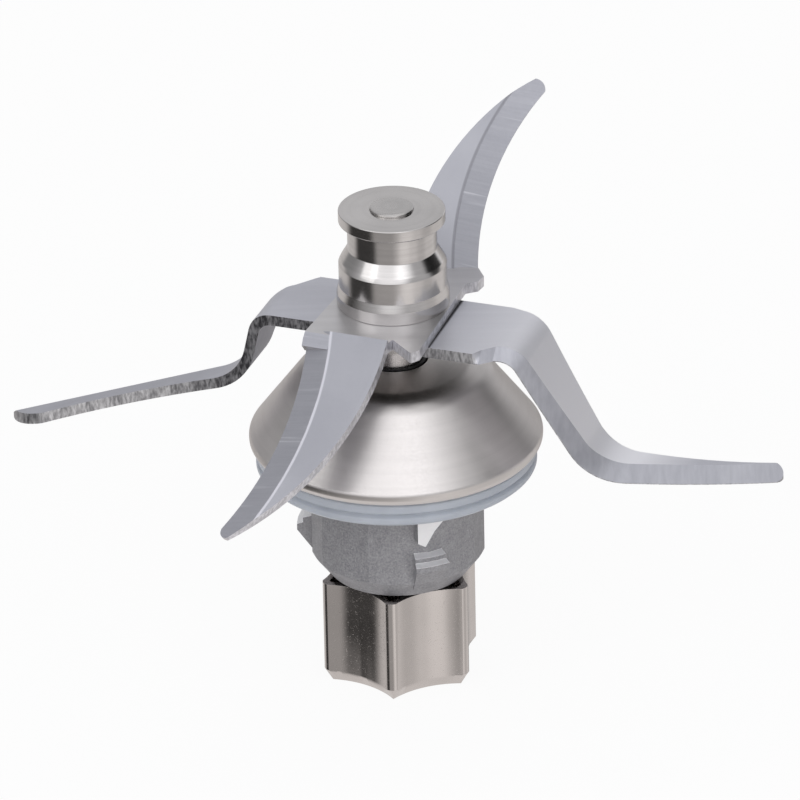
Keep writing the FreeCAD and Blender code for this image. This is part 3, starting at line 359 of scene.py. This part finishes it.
# How the two blades lie: the lower one runs left to right, the upper one front to rear
LOW_TURN = math.radians(20)
HIGH_TURN = math.radians(-19)
ALONG_LOW = Vector((math.cos(-LOW_TURN), math.sin(-LOW_TURN), 0))
ACROSS_LOW = Vector((-ALONG_LOW.y, ALONG_LOW.x, 0))
ACROSS_HIGH = Vector((math.cos(HIGH_TURN), math.sin(HIGH_TURN), 0))
ALONG_HIGH = Vector((-ACROSS_HIGH.y, ACROSS_HIGH.x, 0))
CAP_LENGTH = 16.4
BLADE_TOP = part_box("hub_cap")[1][2] - mm(CAP_LENGTH)
STEEL_DARK = colour(0.45, 0.455, 0.50)
STEEL_PALE = colour(0.51, 0.515, 0.56)


def arm_place(crease_end, crease, turn, bend, centre_x, centre_y):
    """Where the centre of an arm's cutting edge is: X to the edge, Y out along the arm."""
    crease_place = (mm(crease_end), mm(crease), BLADE_TOP)
    return (Matrix.Rotation(HIGH_TURN, 4, "Z") @ Matrix.Translation(crease_place)
            @ Matrix.Rotation(math.radians(turn), 4, "Z") @ Matrix.Rotation(math.radians(bend), 4, "X")
            @ Matrix.Translation(mm(centre_x, centre_y, 0)))


REAR_CENTRE = arm_place(9.4, 14.5, 10.6, 40, 47.76, 5.7)
FRONT_CENTRE = arm_place(-10.1, -14.25, 177.4, -40, 51.5, 10.7)
REAR_BEVEL_REACH = mm(48.1 + 3.8)
FRONT_BEVEL_REACH = mm(52.6 + 4.2)

# Each recipe with its finishes: a name and what the recipe takes after it
RECIPES = [
    (tumbled_steel, {
        "low_sheet": (LOW_TURN, colour(0.55, 0.555, 0.605), colour(0.62, 0.625, 0.675), 0.48, low_painted_light),
        "strip_sheet": (HIGH_TURN, colour(0.58, 0.57, 0.58), colour(0.66, 0.65, 0.66), 0.32),
        "under_sheet": (LOW_TURN, STEEL_DARK, STEEL_PALE, 0.5, under_painted_shade)}),
    (ground_steel, {
        "low_bevel": (LOW_TURN, STEEL_DARK, colour(0.56, 0.565, 0.61), 0.46)}),
    (arm_steel, {
        # Third of each: the painted edge line's tone, painted shade on the rear arm and a painted highlight
        # on the front
        "rear_steel": (REAR_CENTRE, REAR_BEVEL_REACH, colour(0.28, 0.28, 0.31), STEEL_DARK, STEEL_PALE),
        "front_steel": (FRONT_CENTRE, FRONT_BEVEL_REACH, colour(0.82, 0.82, 0.88), STEEL_DARK, STEEL_PALE)}),
    (sheared_steel, {
        "low_cut": (colour(0.10, 0.10, 0.11), colour(0.42, 0.42, 0.44), low_cut_smear),
        "clean_cut": (colour(0.55, 0.55, 0.58), colour(0.80, 0.80, 0.84))}),
    (turned_metal, {
        "turned_cap": (colour(0.54, 0.525, 0.515), colour(0.66, 0.64, 0.63), 0.17, 1600, mm(0.002)),
        "spun_cover": (colour(0.65, 0.625, 0.61), colour(0.74, 0.71, 0.695), 0.34, 900, mm(0.002), 0.7),
        "ground_spindle": (colour(0.50, 0.49, 0.48), colour(0.62, 0.60, 0.59), 0.26, 900, mm(0.001)),
        "zinc_plate": (colour(0.48, 0.48, 0.49), colour(0.62, 0.62, 0.63), 0.32, 1200, mm(0.004)),
        "race_steel": (colour(0.62, 0.62, 0.63), colour(0.74, 0.74, 0.75), 0.18, 1500, mm(0.003))}),
    (cast_metal, {"cast_metal": ()}),
    # The lugs' ledges and the stops' faces: a painted highlight
    (painted_highlight_metal, {"highlight_cast": ()}),
    (plated_metal, {"plated_star": (colour(0.56, 0.53, 0.51), colour(0.68, 0.64, 0.62), 0.15)}),
    (clouded_silicone, {"clouded_silicone": ()}),
    (moulded_rubber, {"moulded_rubber": ()}),
]
FINISHES = {name: recipe(name, *takes) for recipe, row in RECIPES for name, takes in row.items()}


# Shaping helpers
MERGE_REACH = mm(0.002)
BODIES = frame["record"]["behaviour"]["bodies"]


def choose(obj):
    bpy.ops.object.select_all(action="DESELECT")
    obj.select_set(True)
    bpy.context.view_layer.objects.active = obj


def apply(obj, kind, **settings):
    """Adds a modifier with these settings and applies it."""
    choose(obj)
    modifier = obj.modifiers.new(kind.title(), kind)
    for name, setting in settings.items():
        setattr(modifier, name, setting)
    bpy.ops.object.modifier_apply(modifier=modifier.name)


def paint(obj, *names):
    obj.data.materials.clear()
    for name in names:
        obj.data.materials.append(FINISHES[name])


def stands_for(obj, node):
    """Gives a piece its body and the CAD node that it replaces."""
    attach(obj, next(body for body, members in BODIES.items() if node in members))
    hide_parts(node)


def dressed(node, finish, edge_round, smooth=32, steps=2):
    """A merged copy of a CAD node with rounded edges and smooth faces.

    smooth is the angle in degrees from which an edge is rounded, and steps how finely.
    """
    obj = nodes[node].copy()
    obj.data = nodes[node].data.copy()
    obj.name = node + "_shown"
    obj.parent = None
    obj.matrix_world = Matrix.Identity(4)
    scene.collection.objects.link(obj)
    choose(obj)
    bpy.ops.object.mode_set(mode="EDIT")
    bpy.ops.mesh.select_all(action="SELECT")
    bpy.ops.mesh.remove_doubles(threshold=MERGE_REACH)
    bpy.ops.mesh.dissolve_limited(angle_limit=math.radians(1.2))
    bpy.ops.object.mode_set(mode="OBJECT")
    apply(obj, "BEVEL", width=edge_round, segments=steps, limit_method="ANGLE",
          angle_limit=math.radians(smooth), use_clamp_overlap=True)
    choose(obj)
    bpy.ops.object.shade_smooth_by_angle(angle=math.radians(smooth))
    apply(obj, "WEIGHTED_NORMAL", keep_sharp=True)
    paint(obj, finish)
    stands_for(obj, node)
    return obj


def turn_about_axis(obj, degrees):
    """Turns a piece's mesh about the spindle's axis."""
    choose(obj)
    bpy.ops.object.mode_set(mode="EDIT")
    bpy.ops.mesh.select_all(action="SELECT")
    bpy.ops.transform.rotate(value=math.radians(-degrees), orient_axis="Z", center_override=(0, 0, 0))
    bpy.ops.object.mode_set(mode="OBJECT")


def softened(corners):
    """A closed profile with its corners rounded: corners are radius, height and round in mm."""
    line = []
    for number, (radius, height, bend) in enumerate(corners):
        here = Vector((radius, height))
        before = (Vector(corners[number - 1][:2]) - here).normalized()
        after = (Vector(corners[(number + 1) % len(corners)][:2]) - here).normalized()
        if not bend:
            line.append(here)
            continue
        half = before.angle(after) / 2
        sweep = math.pi - 2 * half
        centre = here + (before + after).normalized() * bend / math.sin(half)
        first = here + before * bend / math.tan(half) - centre
        last = here + after * bend / math.tan(half) - centre
        side = (last - first * math.cos(sweep)).normalized() * bend
        steps = max(3, round(sweep / math.radians(9)))
        for step in range(steps + 1):
            turned = sweep * step / steps
            line.append(centre + first * math.cos(turned) + side * math.sin(turned))
    return line


def lathed(node, finish, corners, sides=144):
    """A piece turned from a closed profile, drawn ring by ring out of a first ring."""
    line = softened(corners)
    bpy.ops.object.select_all(action="DESELECT")
    bpy.ops.mesh.primitive_circle_add(vertices=sides, radius=mm(line[0].x), location=(0, 0, 0))
    obj = bpy.context.object
    obj.name = node + "_shown"
    bpy.ops.object.mode_set(mode="EDIT")
    bpy.ops.mesh.select_all(action="SELECT")
    bpy.ops.transform.translate(value=(0, 0, mm(line[0].y)))
    for last, here in zip(line, line[1:] + line[:1]):
        rise = (0, 0, mm(here.y - last.y))
        bpy.ops.mesh.extrude_region_move(TRANSFORM_OT_translate={"value": rise})
        widening = here.x / last.x
        bpy.ops.transform.resize(value=(widening, widening, 1), center_override=(0, 0, 0))
    bpy.ops.mesh.select_all(action="SELECT")
    bpy.ops.mesh.remove_doubles(threshold=MERGE_REACH)
    bpy.ops.mesh.normals_make_consistent(inside=False)
    bpy.ops.object.mode_set(mode="OBJECT")
    choose(obj)
    bpy.ops.object.shade_smooth_by_angle(angle=math.radians(26))
    apply(obj, "WEIGHTED_NORMAL", keep_sharp=True)
    paint(obj, finish)
    stands_for(obj, node)
    return obj


def mark_faces(obj, name, test):
    """Gives a piece's finish to the faces whose centre and normal pass a test."""
    index = list(obj.data.materials).index(FINISHES[name])
    for face in obj.data.polygons:
        if test(face.center, face.normal):
            face.material_index = index


# Lower blade: its bevel, its cut faces and its underside get their own finishes
SHEET_EDGE = mm(0.06)
low_blade = dressed("lower_blade", "low_sheet", SHEET_EDGE, 20)
paint(low_blade, "low_sheet", "low_bevel", "low_cut", "under_sheet")
LOW_TIP = mm(57)
mark_faces(low_blade, "low_bevel", lambda centre, normal:
           0.2 < abs(normal.dot(ACROSS_LOW)) < 0.75 and normal.z > -0.2)
mark_faces(low_blade, "low_cut", lambda centre, normal:
           abs(normal.dot(ACROSS_LOW)) >= 0.75 or centre.xy.length > LOW_TIP and abs(normal.z) < 0.3)
mark_faces(low_blade, "under_sheet", lambda centre, normal: centre.xy.length < mm(28) and normal.z < -0.9)

# Upper blade: strip, rear arm and front arm, with the cut faces all round
STRIP_REACH = mm(12)


def sheet_normal(centre):
    """The direction square to the sheet at a place on the upper blade."""
    along = centre.dot(ALONG_HIGH)
    if abs(along) < STRIP_REACH:
        return Vector((0, 0, 1))
    return (REAR_CENTRE if along > 0 else FRONT_CENTRE).col[2].xyz


high_blade = dressed("upper_blade", "strip_sheet", SHEET_EDGE, 20)
paint(high_blade, "strip_sheet", "rear_steel", "front_steel", "clean_cut", "under_sheet")
mark_faces(high_blade, "rear_steel", lambda centre, normal:
           centre.dot(ALONG_HIGH) > STRIP_REACH and abs(normal.dot(sheet_normal(centre))) > 0.8)
mark_faces(high_blade, "front_steel", lambda centre, normal:
           centre.dot(ALONG_HIGH) < -STRIP_REACH and abs(normal.dot(sheet_normal(centre))) > 0.8)
mark_faces(high_blade, "clean_cut", lambda centre, normal:
           max(abs(normal.dot(sheet_normal(centre))), abs(normal.z)) < 0.6)
mark_faces(high_blade, "under_sheet", lambda centre, normal: centre.xy.length < mm(13) and normal.z < -0.9)

# Profiles of the turned pieces: radius, height and round of each corner, in mm
CAP = 66.4
COLLAR = 19.0
RIB = 22.8

# Hub cap: base, band, flare, neck and disc, all turned in one
lathed("hub_cap", "turned_cap", [
    (3.49, CAP, 0), (9.1, CAP, 0.12), (9.1, CAP + 2.1, 0.1), (8.7, CAP + 3.5, 0.1), (8.7, CAP + 7.2, 0.1),
    (8.38, CAP + 7.9, 0.1), (7.2, CAP + 9.9, 0.4), (7.2, CAP + 14.4, 0.3), (8.35, CAP + 14.4, 0.08),
    (8.6, CAP + 14.65, 0.08), (8.6, CAP + CAP_LENGTH, 0.16), (3.49, CAP + CAP_LENGTH, 0.06)])

# Domed cover: the crown runs over into the side in a soft round
lathed("dome_cover", "spun_cover", [
    (5.4, 56.4, 0.2), (14.5, 55.7, 6.0), (23.8, 43.3, 1.4), (23.75, 42.3, 0.7), (23.2, 41.4, 0.6),
    (COLLAR + 1.6, 41.4, 0.2), (COLLAR + 1.6, 42.2, 0.2), (22.9, 42.2, 0), (22.9, 43.0, 0.8),
    (14.0, 54.8, 5.0), (5.4, 55.5, 0.2)])

# Jug seal: two soft ribs round a flat ring
lathed("jug_seal", "clouded_silicone", [
    (COLLAR + 0.02, 41.4, 0), (COLLAR + 0.02, 37.3, 0), (RIB - 0.7, 37.3, 0.3), (RIB - 0.05, 37.9, 0.4),
    (RIB - 0.05, 38.7, 0.4), (RIB - 0.7, 39.1, 0.25), (RIB - 0.7, 39.4, 0.25), (RIB, 39.7, 0.3),
    (RIB, 40.9, 0.4), (RIB - 0.5, 41.4, 0.15)])

# Bearing housing: the ledges of the lugs and the faces of the ramp stops carry a painted highlight
housing = dressed("bearing_housing", "cast_metal", mm(0.42), 18, 3)
paint(housing, "cast_metal", "highlight_cast")
mark_faces(housing, "highlight_cast", lambda centre, normal:
           centre.xy.length > mm(13.2) and centre.z < mm(37) and normal.z > 0.2)
mark_faces(housing, "highlight_cast", lambda centre, normal:
           centre.xy.length > mm(15.6) and mm(31) < centre.z < mm(38)
           and normal.xy.dot(centre.xy.normalized()) > 0.8)

# Star coupling, turned to where the photographed one stands; spindle and its seal
star = dressed("star_coupling", "plated_star", mm(0.42), 32, 4)
turn_about_axis(star, -9.3)
dressed("spindle", "ground_spindle", mm(0.12))
dressed("spindle_seal", "moulded_rubber", mm(0.1))

# Nodes that stay as the frame has them
KEPT = {
    "preload_washer": "zinc_plate", "retaining_ring": "zinc_plate", "lock_washer": "zinc_plate",
    "coupling_nut": "zinc_plate", "drive_key": "zinc_plate",
    "lower_outer_ring": "race_steel", "lower_inner_ring": "race_steel", "lower_ball_ring": "race_steel",
    "upper_outer_ring": "race_steel", "upper_inner_ring": "race_steel", "upper_ball_ring": "race_steel",
}
for node, finish in KEPT.items():
    paint(nodes[node], finish)

# White table with the unit's shadow on it, clear when seen from below
TABLE_REACH = 3.0
TABLE_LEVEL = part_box("star_coupling")[0][2] - mm(0.05)
TABLE_WHITE_SHARE = 0.93
bpy.ops.object.select_all(action="DESELECT")
bpy.ops.mesh.primitive_plane_add(size=2 * TABLE_REACH, location=(0, 0, TABLE_LEVEL))
table = bpy.context.object
table.name = "table"
tabletop = Finish("tabletop", Roughness=0.9)
tabletop.drive("Base Color", tabletop.blend(
    tabletop.noise(40), colour(0.93, 0.93, 0.93), colour(0.95, 0.95, 0.95)))
table.data.materials.append(tabletop.material)
table.visible_glossy = False
to_camera = tabletop.node("LightPath", {}, {}, "Is Camera Ray")
lit = Value(tabletop, tabletop.tree.nodes["Principled BSDF"].outputs[0])
glow = tabletop.node("Emission", {}, {"Color": colour(1, 1, 1), "Strength": 1.0})
drawn = tabletop.node("MixShader", {}, {0: to_camera * TABLE_WHITE_SHARE, 1: lit, 2: glow})
from_below = tabletop.node("NewGeometry", {}, {}, "Backfacing")
clear = tabletop.node("BsdfTransparent", {}, {})
shown = tabletop.node("MixShader", {}, {0: from_below, 1: drawn, 2: clear})
tabletop.join(shown, "Material Output", "Surface")

# Studio: a pale room, brighter in front and dim in one corner, with pale cards round the table.
# The camera sees it white.
world = bpy.data.worlds.new("studio")
scene.world = world
world.use_nodes = True
room = Shading(world.node_tree)
outward = room.node("TexCoord", {}, {}, "Generated")
out_x, out_y, out_z = room.parts_of(outward)
bearing = room.node("Math", {"operation": "ARCTAN2"}, {0: out_x, 1: out_y * -1.0})


def patch(aim, inner, outer):
    """1 in the directions round an aim, and 0 from the outer angle on."""
    near = room.vectors("DOT_PRODUCT", outward, tuple(Vector(aim).normalized()), "Value")
    return room.node("MapRange", {"interpolation_type": "SMOOTHSTEP"}, {
        "Value": near, "From Min": math.cos(math.radians(outer)),
        "From Max": math.cos(math.radians(inner))})


def stretch(first, last, fade):
    """1 between two bearings in degrees, counted to the right from the front."""
    return (room.ramp(bearing, math.radians(first - fade), math.radians(first + fade))
            * room.ramp(bearing, math.radians(last + fade), math.radians(last - fade)))


# Over the table: the aim, inner and outer angle of each glow and shade, and what it adds or takes
ROOM_LEVEL = 0.54
GLOWS = [
    ((0.0, 0.87, 0.48), 20, 45, 0.13),
    ((-0.10, -0.80, 0.60), 20, 44, 0.72),
    ((0.36, -0.68, 0.62), 4, 24, 0.6),
    ((0.80, 0.60, 0.06), 12, 34, 0.55),
]
SHADES = [
    ((0.87, 0.28, 0.40), 20, 32, 0.97),
    ((-0.85, 0.45, 0.20), 10, 45, 0.45),
]
above = ROOM_LEVEL
for aim, inner, outer, gain in GLOWS:
    above = above + patch(aim, inner, outer) * gain
for aim, inner, outer, loss in SHADES:
    above = above * (1 - patch(aim, inner, outer) * loss)

# Round the table: first and last bearing and fade of each card, and what it adds
CARD_LEVEL = 0.42
CARDS = [(10, 140, 10, 0.34), (18, 44, 6, 0.16), (66, 92, 6, -0.16), (-180, -112, 6, 0.25)]
around = CARD_LEVEL
for first, last, fade, gain in CARDS:
    around = around + stretch(first, last, fade) * gain
around = around * (1 - stretch(-104, -44, 6) * 0.88)
underneath = room.ramp(out_z, -0.55, -0.75)
below = around * (1 - underneath) + underneath * 0.8

over_table = room.ramp(out_z, -0.03, 0.03)
seen = room.node("LightPath", {}, {}, "Is Camera Ray")
strength = above * over_table + below * (1 - over_table)
tint = room.blend(over_table, colour(1.0, 0.965, 0.95), colour(0.98, 0.98, 1.0))
room.join(strength * (1 - seen) + seen, "Background", "Strength")
room.join(room.blend(seen, tint, colour(1, 1, 1)), "Background", "Color")


LAMP_AIM = Vector((0, 0, 0.05))


def soft_box(name, place, reach, power):
    """A square lamp at a place, facing the unit."""
    data = bpy.data.lights.new(name, "AREA")
    data.shape = "SQUARE"
    data.size = reach
    data.energy = power
    lamp = bpy.data.objects.new(name, data)
    scene.collection.objects.link(lamp)
    lamp.location = place
    lamp.rotation_euler = (LAMP_AIM - Vector(place)).to_track_quat("-Z", "Y").to_euler()


soft_box("top_box", (0.1, 0.1, 1.2), 1.1, 1.5)
soft_box("left_box", (-0.9, -0.6, 0.7), 0.7, 1.5)

# Camera: a long lens, as in the photograph
CAMERA_PLACE = mm(0, -1290.6, 670.5 + 42.4)
CAMERA_YAW = -0.00057
CAMERA_PITCH = math.radians(27.24)
CAMERA_ROLL = -0.02018
camera_data = bpy.data.cameras.new("camera")
camera_data.lens = 405
camera_data.sensor_width = 36
camera_data.clip_end = 20
camera = bpy.data.objects.new("camera", camera_data)
scene.collection.objects.link(camera)
camera.matrix_world = (Matrix.Translation(CAMERA_PLACE)
                       @ Matrix.Rotation(CAMERA_YAW, 4, "Z")
                       @ Matrix.Rotation(math.pi / 2 - CAMERA_PITCH, 4, "X")
                       @ Matrix.Rotation(CAMERA_ROLL, 4, "Z"))
scene.camera = camera

scene.view_settings.view_transform = "Standard"
